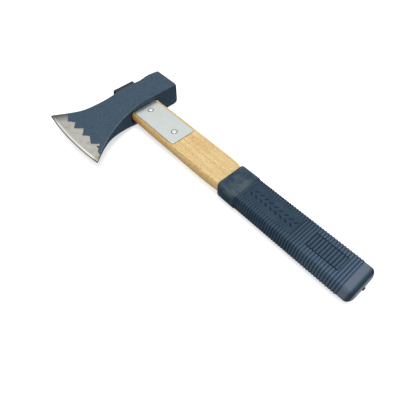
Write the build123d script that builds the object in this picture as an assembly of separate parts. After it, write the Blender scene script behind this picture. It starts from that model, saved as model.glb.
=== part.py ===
# Household hatchet lying on one cheek: forged head with a square hammer poll, wooden handle wedged into
# the eye, two riveted neck plates and a ribbed grip sleeve. One STEP is written for each piece.
#
# The pieces are drawn in the handle's own frame, in millimetres: X runs from the butt end towards the
# head, Y from the poll towards the cutting edge, Z across the cheeks, and z = 0 is the mid-plane.
# The last step moves them all so that the origin is the centre of the bottom of the bounding box.
import os

from build123d import *

# ---- driving dimensions, mm ----
# head
head_mid = 304.5          # X of the eye's middle
head_half_thick = 13.0    # poll and eye walls, across the cheeks
eye_block_half = 17.6     # half of the head's height beside the eye
poll_low_half = 17.3      # from head_mid down to the poll's lower side
poll_y = -47.5            # striking face of the poll
edge_y = 87.1             # furthest point of the cutting edge
edge_radius = 354.0       # sweep of the cutting edge, seen from the cheek
toe_reach = 46.5          # from head_mid to the toe
heel_reach = 48.4         # from head_mid to the heel
edge_half_thick = 0.12    # flat left on the honed edge
hone_depth = 2.4          # width of the honed bevel
hone_half_thick = 0.95    # half thickness where the honed bevel starts
eye_half_thick = 7.3
eye_gap = (0.8, 0.15)     # room round the tongue at the eye's lower mouth and at its top
poll_round = 2.0          # rounding of the poll's edges
cheek_round = 0.6         # rounding of the cheeks' long edges

# handle
wood_half_thick = 6.0
side_bulge = 2.6          # roundness of the handle's narrow sides
# the shaft's sections: X, half width, and how far it is fuller on the poll's side
shaft_sections = ((151.3, 16.9, 0.0), (160.0, 18.5, 0.8), (172.0, 19.0, 0.9), (190.0, 19.1, 0.85),
                  (215.0, 19.1, 1.0), (240.0, 19.1, 1.1), (263.0, 19.1, 1.15), (286.9, 19.1, 1.2))
tang_widths = ((12.0, 13.6), (126.0, 14.4), (151.3, 16.9))    # inside the sleeve
tongue_top = 333.8        # end of the handle above the eye
tongue_half_widths = (17.9, 14.3)     # at the head's underside and at the top
tongue_bulges = (side_bulge, 1.0)     # roundness of its narrow sides at the same places
tongue_lean = -3.0        # shift of the tongue's top towards the poll
tongue_swell = 7.2        # half thickness where the wedge has spread the tongue
plates_stop = 310.0       # where the neck plates end, inside the eye
tongue_round = 1.2

# wedges, driven into the end of the tongue
wood_wedge_depth = 32.0
wood_wedge_half_thick = (0.4, 1.7)    # at its point and at its head
steel_wedge_depth = 24.0
steel_wedge_half_thick = (0.4, 1.5)
steel_wedge_half_width = 4.6

# neck plates and rivets
plate_start = 220.2
plate_half_width = 15.0
plate_tail_half = 11.2    # where it ends in the eye
plate_thick = 1.2
plate_corner = 3.5
rivet_centres = ((233.4, 1.4), (277.4, -1.2))
rivet_shank_radius = 2.0
rivet_head_radius = 3.3
rivet_head_height = 0.9

# grip sleeve
pad_length = 13.2         # smooth pad at the butt
collar_start = 128.4
sleeve_length = 151.3
sleeve_half_thick = 9.7
rib_half_width = 17.3
collar_half_width = 18.0
pad_half_width = 16.5
groove_depth = 0.6
rib_count = 41
rib_share = 0.62          # part of the pitch that is rib
sleeve_cut = (2.4, 3.7)   # cut of the sleeve's long corners, in Y and in Z
butt_bulge = 2.2          # how far the butt end stands out at its mid-plane
butt_corner = 4.0
butt_round = 2.0
panel = (70.2, 124.2, 10.3)    # smooth panel: start, end, half width
window = (23.2, 55.4, 8.4)     # framed bars: start, end, half width
bar_count = 10
cut_width = 0.8

# ---- derived ----
head_low = head_mid - eye_block_half
head_top = head_mid + eye_block_half
plate_face = wood_half_thick + plate_thick
overall_length = head_mid + toe_reach
rib_pitch = (collar_start - pad_length) / rib_count


def across(x, y=0.0):
    """Plane square to the handle at x, with its own X along Y and its own Y along Z."""
    return Plane(origin=(x, y, 0), x_dir=(0, 1, 0), z_dir=(1, 0, 0))


def paddle(x, half_width, half_thick=wood_half_thick, y=0.0, bulge=side_bulge):
    """Handle section at x: two flat broad faces and two rounded narrow sides."""
    flat = half_width - bulge
    with BuildSketch(across(x, y)) as section:
        with BuildLine():
            Line((-flat, -half_thick), (flat, -half_thick))
            ThreePointArc((flat, -half_thick), (half_width, 0), (flat, half_thick))
            Line((flat, half_thick), (-flat, half_thick))
            ThreePointArc((-flat, half_thick), (-half_width, 0), (-flat, -half_thick))
        make_face()
    return section.sketch


def tongue_section(x, half_thick, gap=0.0):
    """Section of the tongue, which narrows towards its end and leans towards the poll."""
    way = (x - head_low) / (tongue_top - head_low)
    half_width, bulge = [low + way * (high - low) for low, high in (tongue_half_widths, tongue_bulges)]
    return paddle(x, half_width + gap, half_thick, way * tongue_lean, bulge)


def octagon(x, length, half_width, half_thick):
    """Stretch of the sleeve from x: a flat bar with its four long corners cut."""
    cut_y, cut_z = sleeve_cut
    corner = [(half_width, half_thick - cut_z), (half_width - cut_y, half_thick)]
    upper = corner + [(-y, z) for y, z in reversed(corner)]
    lower = [(-y, -z) for y, z in upper]
    with BuildSketch(across(x)) as section:
        Polygon(*upper, *lower, align=None)
    return extrude(section.sketch, length)


def block(start, end, half_width, low, high):
    """Box on the centre line, from start to end along X and low to high along Z."""
    place = Pos((start + end) / 2, 0, (low + high) / 2)
    return place * Box(end - start, 2 * half_width, high - low)


def prism(points, plane, half_depth):
    """Closed outline of points on a plane, thickened to both sides of it."""
    with BuildSketch(plane) as outline:
        Polygon(*points, align=None)
    return extrude(outline.sketch, half_depth, both=True)


def top_and_bottom(shape):
    return [shape, mirror(shape, about=Plane.XY)]


def edge_drop(reach):
    """How far the cutting edge has swept back at this distance from its middle."""
    return edge_radius - (edge_radius ** 2 - reach ** 2) ** 0.5


def head_plan():
    """The head seen from the cheek: square poll, slight neck behind the eye, flared blade."""
    flare = [(18.0, 14), (20.4, 32), (26.3, 51), (34.6, 66)]
    poll_back = [(17.7, -6), (17.0, -20), (19.0, -32), (18.7, -38)]
    poll_top = (head_mid + 17.2, poll_y)
    toe = (head_mid + toe_reach, edge_y - edge_drop(toe_reach))
    heel = (head_mid - heel_reach, edge_y - edge_drop(heel_reach))
    toe_side = [(head_mid + h, y) for h, y in flare] + [toe]
    heel_side = [(head_mid - h, y) for h, y in flare] + [heel]
    back = [(head_mid + h, y) for h, y in poll_back]
    low = head_mid - poll_low_half
    with BuildSketch(Plane.XY.offset(-head_half_thick)) as plan:
        with BuildLine():
            Line(toe_side[0], back[0])
            Spline(*back, tangents=[(0, -1), (poll_top[0] - back[-1][0], poll_top[1] - back[-1][1])])
            Polyline(back[-1], poll_top, (low, poll_y), (low, -6), heel_side[0])
            Spline(*heel_side, tangents=[(0, 1), (-0.62, 0.78)])
            ThreePointArc(heel, (head_mid, edge_y), toe)
            Spline(*toe_side, tangents=[(0, 1), (0.62, 0.78)])
        make_face()
    return plan.sketch


def head_taper():
    """Thickness of the head from poll to edge, turned about the centre of the edge's sweep."""
    centre_y = edge_y - edge_radius
    taper = [(4, head_half_thick), (18, 10.6), (36, 6.9), (54, 3.2), (66, 2.0)]
    inner = poll_y - centre_y - 20
    curve = [(y - centre_y, z) for y, z in taper]
    hone = (edge_radius - hone_depth, hone_half_thick)
    # Drawn on the far side of the axis, so that the turned faces have no seam in the head.
    with BuildSketch(Plane((head_mid, centre_y, 0), x_dir=(0, -1, 0), z_dir=(1, 0, 0))) as side:
        with BuildLine():
            Polyline((inner, -head_half_thick), (inner, head_half_thick), curve[0])
            Spline(*curve, tangents=[(1, 0), (1, -0.06)])
            Polyline(curve[-1], hone, (edge_radius, edge_half_thick), (edge_radius, -edge_half_thick),
                     (hone[0], -hone[1]), (curve[-1][0], -curve[-1][1]))
            Spline(*[(r, -z) for r, z in reversed(curve)], tangents=[(-1, -0.06), (-1, 0)])
            Line((curve[0][0], -head_half_thick), (inner, -head_half_thick))
        make_face()
    return revolve(side.sketch, Axis((head_mid, centre_y, 0), (0, 0, 1)))


def make_head():
    blank = extrude(head_plan(), 2 * head_half_thick) & head_taper()
    poll_edges = blank.edges().filter_by_position(Axis.Y, poll_y - 0.1, poll_y + 0.1)
    blank = fillet(poll_edges, poll_round)
    cheeks = blank.faces().sort_by(Axis.Z)
    sides = [e for f in (cheeks[0], cheeks[-1]) for e in f.edges() if e.geom_type != GeomType.CIRCLE]
    blank = fillet([e for e in sides if e.center().Y > poll_y + poll_round + 0.5], cheek_round)
    mouth = tongue_section(head_low - 1, eye_half_thick, eye_gap[0])
    top = tongue_section(head_top + 1, eye_half_thick, eye_gap[1])
    return blank - loft([mouth, top], ruled=True)


def make_wood():
    """Tang, shaft and tongue in one piece of wood, before the wedges are driven."""
    tang = loft([paddle(x, w) for x, w in tang_widths], ruled=True)
    shaft = loft([paddle(x, w, y=-fuller) for x, w, fuller in shaft_sections])
    stations = ((head_low, wood_half_thick), (plates_stop + 0.5, wood_half_thick),
                (head_top, tongue_swell), (tongue_top, tongue_swell))
    tongue = loft([tongue_section(x, t) for x, t in stations], ruled=True)
    end_edges = tongue.faces().sort_by(Axis.X)[-1].edges()
    return tang + shaft + fillet(end_edges, tongue_round)


def wedge_prism(depth, half_thick, half_width, plane):
    """Wedge from its point inside the tongue to past the tongue's end."""
    point, head = half_thick
    start = tongue_top - depth
    stop = tongue_top + 1
    return prism([(start, -point), (start, point), (stop, head), (stop, -head)], plane, half_width)


def make_wedges(wood):
    """Wooden wedge along the eye, and a steel wedge driven across it."""
    wide = tongue_half_widths[0]
    wooden = wood & wedge_prism(wood_wedge_depth, wood_wedge_half_thick, 2 * wide, Plane.XZ)
    across_plane = Plane((0, tongue_lean, 0), x_dir=(1, 0, 0), z_dir=(0, 0, 1))
    steel = wood & wedge_prism(steel_wedge_depth, steel_wedge_half_thick, steel_wedge_half_width, across_plane)
    return wooden - steel, steel


def make_plate():
    """Neck plate on the upper broad face, with a narrower tail that runs into the eye."""
    outline = [(plate_start, -plate_half_width), (plate_start, plate_half_width), (head_low - 0.5, plate_half_width),
               (plates_stop, tongue_lean + plate_tail_half), (plates_stop, tongue_lean - plate_tail_half),
               (head_low - 0.5, -plate_half_width)]
    plate = prism(outline, Plane.XY.offset(wood_half_thick + plate_thick / 2), plate_thick / 2)
    corners = plate.edges().filter_by(Axis.Z).group_by(Axis.X)[0]
    return fillet(corners, plate_corner)


def make_rivet(x, y):
    """Rivet right through the handle and both plates, with a low domed head on each."""
    shank = Cylinder(rivet_shank_radius, 2 * plate_face)
    dome_radius = (rivet_head_radius ** 2 + rivet_head_height ** 2) / (2 * rivet_head_height)
    ball = Pos(0, 0, plate_face + rivet_head_height - dome_radius) * Sphere(dome_radius)
    above = Pos(0, 0, plate_face + rivet_head_height / 2) * Cylinder(rivet_head_radius + 1, rivet_head_height)
    dome = ball & above
    return Pos(x, y, 0) * shank.fuse(*top_and_bottom(dome))


def butt_pad():
    """Smooth end of the sleeve: bulged butt face, round corners and a rounded rim."""
    reach = sleeve_half_thick + 1
    with BuildSketch(Plane.XZ) as side:
        with BuildLine():
            ThreePointArc((butt_bulge, -reach), (0, 0), (butt_bulge, reach))
            Polyline((butt_bulge, reach), (pad_length, reach), (pad_length, -reach), (butt_bulge, -reach))
        make_face()
    pad = octagon(0, pad_length, pad_half_width, sleeve_half_thick)
    pad &= extrude(side.sketch, 2 * pad_half_width, both=True)
    end = pad.edges().filter_by_position(Axis.X, -1, butt_bulge + 0.5)
    outer = end.filter_by_position(Axis.Y, pad_half_width - 0.1, pad_half_width + 0.1)
    outer += end.filter_by_position(Axis.Y, -pad_half_width - 0.1, 0.1 - pad_half_width)
    pad = fillet(outer, butt_corner)
    rim = pad.faces().sort_by(Axis.X)[0].edges()
    return fillet(rim.filter_by_position(Axis.Z, 1, reach) + rim.filter_by_position(Axis.Z, -reach, -1), butt_round)


def sleeve_body():
    """Pad, ribbed stretch and collar of the sleeve, with their flat panel on both faces."""
    root_half = rib_half_width - groove_depth
    root_thick = sleeve_half_thick - groove_depth
    body = butt_pad() + octagon(pad_length, collar_start - pad_length, root_half, root_thick)
    body += octagon(collar_start, sleeve_length - collar_start, collar_half_width, sleeve_half_thick)
    ribs = [octagon(pad_length + (i + 1 - rib_share) * rib_pitch, rib_share * rib_pitch,
                    rib_half_width, sleeve_half_thick) for i in range(rib_count)]
    start, end, half_width = panel
    smooth = block(start, end, half_width, root_thick - 1, sleeve_half_thick - 0.2)
    start, end, half_width = window
    framed = block(start, end, half_width, root_thick - 1, sleeve_half_thick)
    return body.fuse(*ribs, *top_and_bottom(smooth), *top_and_bottom(framed))


def window_cuts():
    """Groove round the framed bars, and the grooves between them."""
    start, end, half_width = window
    low = sleeve_half_thick - groove_depth
    high = sleeve_half_thick + 1
    rim = block(start, end, half_width, low, high)
    rim -= block(start + cut_width, end - cut_width, half_width - cut_width, low - 1, high + 1)
    pitch = (end - start) / bar_count
    bars = [block(start + i * pitch - cut_width / 2, start + i * pitch + cut_width / 2,
                  half_width - cut_width, low, high) for i in range(1, bar_count)]
    return [rim, *bars]


def make_sleeve(wood):
    sleeve = sleeve_body()
    for cut in window_cuts():
        sleeve -= top_and_bottom(cut)
    return sleeve - wood


def main():
    wood = make_wood()
    wood_wedge, steel_wedge = make_wedges(wood)
    rivets = [make_rivet(x, y) for x, y in rivet_centres]
    plate = make_plate()
    for rivet in rivets:
        plate -= rivet
        wood -= rivet
    pieces = {
        "axe_head": make_head(),
        "handle": wood - wood_wedge - steel_wedge,
        "wood_wedge": wood_wedge,
        "steel_wedge": steel_wedge,
        "neck_plate_upper": plate,
        "neck_plate_lower": mirror(plate, about=Plane.XY),
        "grip_sleeve": make_sleeve(make_wood()),
    }
    for number, rivet in enumerate(rivets, start=1):
        pieces[f"neck_rivet_{number}"] = rivet

    os.makedirs("parts", exist_ok=True)
    to_base = Pos(-overall_length / 2, -(poll_y + edge_y) / 2, head_half_thick)
    for name, piece in pieces.items():
        export_step(to_base * piece, f"parts/{name}.step")
        print(name, round(piece.volume))


main()
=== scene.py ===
import math
import bmesh
import bpy
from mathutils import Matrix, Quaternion, Vector


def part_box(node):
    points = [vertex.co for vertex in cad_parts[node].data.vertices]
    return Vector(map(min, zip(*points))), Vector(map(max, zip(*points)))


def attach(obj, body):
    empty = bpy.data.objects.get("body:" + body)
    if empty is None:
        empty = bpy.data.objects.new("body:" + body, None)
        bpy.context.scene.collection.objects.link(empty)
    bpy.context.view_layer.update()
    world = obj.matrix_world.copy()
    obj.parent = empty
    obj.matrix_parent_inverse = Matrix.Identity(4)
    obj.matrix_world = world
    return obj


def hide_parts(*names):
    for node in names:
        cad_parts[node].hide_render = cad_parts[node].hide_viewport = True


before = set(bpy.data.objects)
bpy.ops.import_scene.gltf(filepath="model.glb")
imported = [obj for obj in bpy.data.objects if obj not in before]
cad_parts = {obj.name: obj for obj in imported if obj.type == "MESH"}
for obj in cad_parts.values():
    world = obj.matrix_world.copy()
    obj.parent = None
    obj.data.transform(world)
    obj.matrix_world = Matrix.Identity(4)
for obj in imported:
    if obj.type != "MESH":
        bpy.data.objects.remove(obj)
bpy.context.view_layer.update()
print("frame loaded:", len(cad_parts), "nodes")

mm = 0.001

# camera, floor and light

cameraSetup = {
    "eye": (-174.9, 154.2, 291.2),      # mm
    "aim": (-22.97, 17.99, 13.0),
    "lens": 33.3,
    "sensor": 36.0,
    "roll": -0.13,                      # degrees
}

studio = {
    "floorSize": 8.0,                   # m
    "floorColour": "#bebebe", "floorGlow": 0.6,    # a light table's white, which softens the shadow
    "tentTop": 1.0,                     # brightness overhead
    "tentHorizon": 0.12,                # and at the horizon, which darkens the chamfers
    "tentRise": (0.02, 0.75),           # sine of the elevation where it starts and ends rising
    "backdrop": "#f1f2f3",              # what the camera sees past the floor
    "keyPlace": (0.0, 0.1, 1.6),        # m, almost overhead
    "keySize": 0.9,
    "keyPower": 18.0,
}


def linear(hexText):
    parts = [int(hexText[i:i + 2], 16) / 255 for i in (1, 3, 5)]
    return tuple(p / 12.92 if p <= 0.04045 else ((p + 0.055) / 1.055) ** 2.4 for p in parts) + (1.0,)


def addNode(tree, kind, settings=None, links=None):
    # a setting is a property of the node, or else one of its inputs by name or number;
    # a link comes from an output, or from a node's first output
    node = tree.nodes.new("ShaderNode" + kind)
    for name, value in (settings or {}).items():
        if isinstance(name, str) and hasattr(node, name):
            setattr(node, name, value)
        else:
            node.inputs[name].default_value = value
    for name, source in (links or {}).items():
        output = source.outputs[0] if hasattr(source, "outputs") else source
        tree.links.new(output, node.inputs[name])
    return node


def addCamera():
    eye = Vector(cameraSetup["eye"]) * mm
    toAim = Vector(cameraSetup["aim"]) * mm - eye
    bpy.ops.object.camera_add(location=eye)
    camera = bpy.context.object
    camera.rotation_mode = "QUATERNION"
    roll = Quaternion((0, 0, 1), math.radians(cameraSetup["roll"]))
    camera.rotation_quaternion = toAim.to_track_quat("-Z", "Y") @ roll
    camera.data.lens = cameraSetup["lens"]
    camera.data.sensor_width = cameraSetup["sensor"]
    camera.data.clip_start = 0.01
    bpy.context.scene.camera = camera


def addWorld():
    world = bpy.data.worlds.new("lightTent")
    bpy.context.scene.world = world
    world.use_nodes = True
    tree = world.node_tree
    tree.nodes.clear()
    direction = addNode(tree, "TexCoord")
    parts = addNode(tree, "SeparateXYZ", links={0: direction.outputs["Generated"]})
    rise = addNode(tree, "MapRange", {
        "interpolation_type": "SMOOTHSTEP",
        "From Min": studio["tentRise"][0], "From Max": studio["tentRise"][1],
        "To Min": studio["tentHorizon"], "To Max": studio["tentTop"],
    }, {"Value": parts.outputs["Z"]})
    tent = addNode(tree, "Background", {"Color": (1, 1, 1, 1)}, {"Strength": rise})
    backdrop = addNode(tree, "Background", {"Color": linear(studio["backdrop"])})
    ray = addNode(tree, "LightPath")
    both = addNode(tree, "MixShader", links={
        0: ray.outputs["Is Camera Ray"], 1: tent, 2: backdrop})
    addNode(tree, "OutputWorld", links={0: both})


def addKeyLight():
    place = Vector(studio["keyPlace"])
    bpy.ops.object.light_add(type="AREA", location=place)
    light = bpy.context.object
    light.name = "keySoftbox"
    light.rotation_mode = "QUATERNION"
    light.rotation_quaternion = (-place).to_track_quat("-Z", "Y")
    light.data.size = studio["keySize"]
    light.data.energy = studio["keyPower"]


def addFloor():
    bpy.ops.mesh.primitive_plane_add(size=studio["floorSize"], location=(0, 0, 0))
    floor = bpy.context.object
    floor.name = "floor"
    paper = bpy.data.materials.new("whitePaperSweep")
    paper.use_nodes = True
    shader = paper.node_tree.nodes["Principled BSDF"]
    shader.inputs["Base Color"].default_value = linear(studio["floorColour"])
    shader.inputs["Roughness"].default_value = 0.9
    shader.inputs["Specular IOR Level"].default_value = 0.0
    shader.inputs["Emission Color"].default_value = (1, 1, 1, 1)
    shader.inputs["Emission Strength"].default_value = studio["floorGlow"]
    floor.data.materials.append(paper)
    floor.visible_glossy = False        # its white would grey the gloss on the sides


bpy.context.scene.view_settings.view_transform = "Standard"
addCamera()
addWorld()
addKeyLight()
addFloor()
print("camera, light and floor placed")


# materials

def newMaterial(name):
    # an empty material, and object coordinates turned to millimetres for its patterns
    material = bpy.data.materials.new(name)
    material.use_nodes = True
    tree = material.node_tree
    tree.nodes.clear()
    place = addNode(tree, "TexCoord")
    inMillimetres = addNode(tree, "VectorMath", {"operation": "SCALE", "Scale": 1 / mm},
                            {0: place.outputs["Object"]})
    return material, tree, inMillimetres


def finishMaterial(tree, settings, links):
    shader = addNode(tree, "BsdfPrincipled", settings, links)
    addNode(tree, "OutputMaterial", links={0: shader})


def setStops(ramp, stops):
    # positions and colours of a colour ramp
    elements = ramp.color_ramp.elements
    elements[0].position, elements[0].color = stops[0]
    elements[1].position, elements[1].color = stops[-1]
    for position, colour in stops[1:-1]:
        elements.new(position).color = colour


headFinish = {
    "enamel": "#182e40", "enamelLight": "#2c4456", "enamelGloss": 0.4,
    "worn": "#8fa0ad", "rimReach": 1.0,    # enamel rubbed thin, that many mm round the edges
    # the honed band is painted brighter to stand for the highlight it catches, and the very edge is painted
    # dark for the dark it reflects
    "steel": "#bcbab3", "steelDark": "#87857f", "honed": "#e8e6e0", "edgeDarkReflection": "#3d3f38",
    # the first colour below, at the toe, is painted shade where the cheek rounds away from the light
    "toePaintedShade": "#454a4c", "heelTint": "#8c8a58", "soot": "#1b1d1a",
    # mm, X along the edge and Y of the paint's sawtooth line, from the heel to the toe
    "teeth": ((78, 62), (85, 57), (92.6, 55.2), (99.9, 48.3), (106.5, 54.7), (117.3, 49.6), (123.4, 54.6),
              (131.4, 48.3), (139.0, 55.7), (146.1, 50.1), (153.5, 55.2), (161.3, 50.0), (178, 53.5)),
    "teethRange": (40, 70),             # mm, Y between which the line runs
    "ragged": 0.5,                      # mm, unevenness of the masked line
    "discCentre": (129.0, -286.7, 0.0), "discRadius": 354.0,    # the cutting edge's arc
    "honedBand": (0.7, 1.1, 2.6, 3.2),  # mm from the edge: the painted dark line ends, the honed band painted as a highlight starts, ends, steel starts
    "toeLine": (-0.834, 0.5515), "toeFrom": (163.6, 46.2), "toePaintedShadeReach": 14.0,
    "heelSpot": (83.0, 60.5, 13.0), "heelReach": (2.5, 9.0),
    "nick": (97.5, 51.5, 14.5), "nickReach": (0.7, 1.3), "nickSqueeze": (0.45, 1.0, 0.3),
    "chip": (112.2, -66.6, 25.4), "chipReach": (1.0, 1.9),
}


def stovedEnamelAndGroundSteel():
    # forged steel, stove enamelled navy: satin with a fine orange peel, so light from above greys it.
    # The blade's end is ground bare: pale, soft reflections, a honed band painted brighter as its highlight,
    # a painted dark reflection along the very edge, painted shade at the toe, grit lines and smudges.
    material, tree, place = newMaterial("stovedEnamelAndGroundSteel")
    values = headFinish
    colours = {name: linear(value) for name, value in values.items() if str(value).startswith("#")}
    parts = addNode(tree, "SeparateXYZ", links={0: place})
    lowX, highX = values["teeth"][0][0], values["teeth"][-1][0]
    lowY, highY = values["teethRange"]
    along = addNode(tree, "MapRange", {"From Min": lowX, "From Max": highX}, {"Value": parts.outputs["X"]})
    line = addNode(tree, "FloatCurve", links={"Value": along})
    curve = line.mapping.curves[0]
    for x, y in values["teeth"][1:-1]:
        curve.points.new((x - lowX) / (highX - lowX), (y - lowY) / (highY - lowY))
    for point, (x, y) in zip(curve.points, values["teeth"]):
        point.location = ((x - lowX) / (highX - lowX), (y - lowY) / (highY - lowY))
        point.handle_type = "VECTOR"
    line.mapping.update()
    lineY = addNode(tree, "MapRange", {"To Min": lowY, "To Max": highY}, {"Value": line})
    wander = addNode(tree, "TexNoise", {"Scale": 0.55, "Detail": 3.0}, {"Vector": place})
    wanderBy = addNode(tree, "Math", {
        "operation": "MULTIPLY_ADD", 1: 4 * values["ragged"], 2: -2 * values["ragged"]}, {0: wander})
    past = addNode(tree, "Math", {"operation": "SUBTRACT"}, {0: parts.outputs["Y"], 1: lineY})
    pastRagged = addNode(tree, "Math", {"operation": "ADD"}, {0: past, 1: wanderBy})
    bare = addNode(tree, "MapRange", {"From Min": -0.15, "From Max": 0.15}, {"Value": pastRagged})

    # enamel: grain of the paint, drawn a millimetre coarse so that it shows, and rubbed edges
    speck = addNode(tree, "TexNoise", {"Scale": 0.75, "Detail": 2.0, "Roughness": 0.6}, {"Vector": place})
    speckBy = addNode(tree, "MapRange", {"From Min": 0.36, "From Max": 0.64}, {"Value": speck})
    enamelMix = addNode(tree, "Mix", {
        "data_type": "RGBA", 6: colours["enamel"], 7: colours["enamelLight"]}, {0: speckBy})
    rim = addNode(tree, "AmbientOcclusion", {
        "samples": 8, "inside": True, "only_local": True, "Distance": values["rimReach"] * mm})
    rimBy = addNode(tree, "MapRange", {"From Min": 0.9, "From Max": 0.55}, {"Value": rim.outputs["AO"]})
    rubbed = addNode(tree, "MapRange", {"From Min": 0.42, "From Max": 0.58, "To Max": 0.6},
                     {"Value": wander})
    rimWear = addNode(tree, "Math", {"operation": "MULTIPLY"}, {0: rimBy, 1: rubbed})
    chipFar = addNode(tree, "VectorMath", {"operation": "DISTANCE", 1: values["chip"]}, {0: place})
    chipFull, chipEnd = values["chipReach"]
    chipBy = addNode(tree, "MapRange", {"From Min": chipEnd, "From Max": chipFull},
                     {"Value": chipFar.outputs["Value"]})
    wearBy = addNode(tree, "Math", {"operation": "MAXIMUM"}, {0: rimWear, 1: chipBy})
    enamelWorn = addNode(tree, "Mix", {"data_type": "RGBA", 7: colours["worn"]}, {
        0: wearBy, 6: enamelMix.outputs[2]})

    # bare steel: smudges, grit lines square to the edge, the honed band painted brighter as its highlight,
    # painted shade at the toe, a painted dark reflection along the edge, and what has settled at the corners
    smudge = addNode(tree, "TexNoise", {"Scale": 0.12, "Detail": 5.0, "Roughness": 0.6}, {"Vector": place})
    smudgeBy = addNode(tree, "MapRange", {"From Min": 0.5, "From Max": 0.8, "To Max": 0.7},
                       {"Value": smudge})
    steelMix = addNode(tree, "Mix", {
        "data_type": "RGBA", 6: colours["steel"], 7: colours["steelDark"]}, {0: smudgeBy})
    inPlane = addNode(tree, "VectorMath", {"operation": "MULTIPLY", 1: (1, 1, 0)}, {0: place})
    fromCentre = addNode(tree, "VectorMath", {"operation": "DISTANCE", 1: values["discCentre"]},
                         {0: inPlane})
    fromEdge = addNode(tree, "Math", {"operation": "SUBTRACT", 0: values["discRadius"]},
                       {1: fromCentre.outputs["Value"]})
    edgeDarkEnd, honedStart, honedEnd, steelStart = values["honedBand"]
    # the honed band: painted highlight
    honedBy = addNode(tree, "MapRange", {"From Min": steelStart, "From Max": honedEnd},
                      {"Value": fromEdge})
    steelHonedHighlight = addNode(tree, "Mix", {"data_type": "RGBA", 7: colours["honed"]}, {
        0: honedBy, 6: steelMix.outputs[2]})
    # painted shade along the toe's upper side, fading inwards
    toeDot = addNode(tree, "VectorMath", {"operation": "DOT_PRODUCT", 1: (*values["toeLine"], 0)}, {0: place})
    toeZero = sum(a * b for a, b in zip(values["toeLine"], values["toeFrom"]))
    toePaintedShadeBy = addNode(tree, "MapRange", {
        "From Min": toeZero + values["toePaintedShadeReach"], "From Max": toeZero + 1, "To Max": 0.95},
        {"Value": toeDot.outputs["Value"]})
    steelToeShaded = addNode(tree, "Mix", {"data_type": "RGBA", 7: colours["toePaintedShade"]}, {
        0: toePaintedShadeBy, 6: steelHonedHighlight.outputs[2]})
    heelFar = addNode(tree, "VectorMath", {"operation": "DISTANCE", 1: values["heelSpot"]}, {0: place})
    heelBy = addNode(tree, "MapRange", {
        "From Min": values["heelReach"][1], "From Max": values["heelReach"][0], "To Max": 0.6},
        {"Value": heelFar.outputs["Value"]})
    steelHeel = addNode(tree, "Mix", {"data_type": "RGBA", 7: colours["heelTint"]}, {
        0: heelBy, 6: steelToeShaded.outputs[2]})
    # a painted dark reflection in a thin line along the very edge
    edgeDarkBy = addNode(tree, "MapRange", {"From Min": honedStart, "From Max": edgeDarkEnd},
                     {"Value": fromEdge})
    steelEdge = addNode(tree, "Mix", {"data_type": "RGBA", 7: colours["edgeDarkReflection"]}, {
        0: edgeDarkBy, 6: steelHeel.outputs[2]})
    nickSqueeze = values["nickSqueeze"]
    nickCentre = [a * b for a, b in zip(values["nick"], nickSqueeze)]
    nickPlace = addNode(tree, "Mapping", {"Scale": nickSqueeze}, {0: place})
    nickFar = addNode(tree, "VectorMath", {"operation": "DISTANCE", 1: nickCentre}, {0: nickPlace})
    nickFull, nickEnd = values["nickReach"]
    nickBy = addNode(tree, "MapRange", {"From Min": nickEnd, "From Max": nickFull},
                     {"Value": nickFar.outputs["Value"]})
    fleck = addNode(tree, "MapRange", {"From Min": 0.56, "From Max": 0.64}, {"Value": speck})
    heelFleck = addNode(tree, "Math", {"operation": "MULTIPLY"}, {0: heelBy, 1: fleck})
    sootBy = addNode(tree, "Math", {"operation": "MAXIMUM"}, {0: heelFleck, 1: nickBy})
    steelDone = addNode(tree, "Mix", {"data_type": "RGBA", 7: colours["soot"]}, {
        0: sootBy, 6: steelEdge.outputs[2]})

    colour = addNode(tree, "Mix", {"data_type": "RGBA"}, {
        0: bare, 6: enamelWorn.outputs[2], 7: steelDone.outputs[2]})
    enamelRough = addNode(tree, "MapRange", {"To Min": 0.36, "To Max": 0.54}, {"Value": speck})
    steelRough = addNode(tree, "MapRange", {"To Min": 0.28, "To Max": 0.46}, {"Value": smudge})
    rough = addNode(tree, "Mix", links={
        0: bare, 2: enamelRough, 3: steelRough})
    gritPlace = addNode(tree, "Mapping", {"Scale": (1.6, 0.08, 0.08)}, {0: place})
    grit = addNode(tree, "TexNoise", {"Scale": 1.0, "Detail": 2.0}, {"Vector": gritPlace})
    relief = addNode(tree, "Mix", links={0: bare, 2: speck, 3: grit})
    bump = addNode(tree, "Bump", {"Strength": 0.3, "Distance": 0.12 * mm}, {"Height": relief})
    finishMaterial(tree, {"Specular IOR Level": values["enamelGloss"]}, {
        "Base Color": colour.outputs[2], "Metallic": bare, "Roughness": rough,
        "Normal": bump})
    return material


woodFinish = {
    # the narrow sides' colour is painted shade, and deepens to an orange-brown towards the head
    "pale": "#c9b283", "honey": "#b89455", "streak": "#7d5a2e", "side": "#b08847", "sideNearHeadShade": "#94601f",
    "tick": "#5f4420", "ridgeReach": 0.8,  # dark ticks, that many mm round the ridges
    "dip": "#06161c",                   # paint that the top of the handle was dipped in
    "dipFrom": 146.0, "dipBlur": 0.4,   # mm along the handle
    "sideNearHeadFrom": (92.0, 110.0),        # where the painted shade on the narrow sides deepens towards the head
    "patch": (24.0, -29.0, 13.0), "patchReach": (6.0, 20.0),    # a honey-coloured patch past the plate
}


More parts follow.
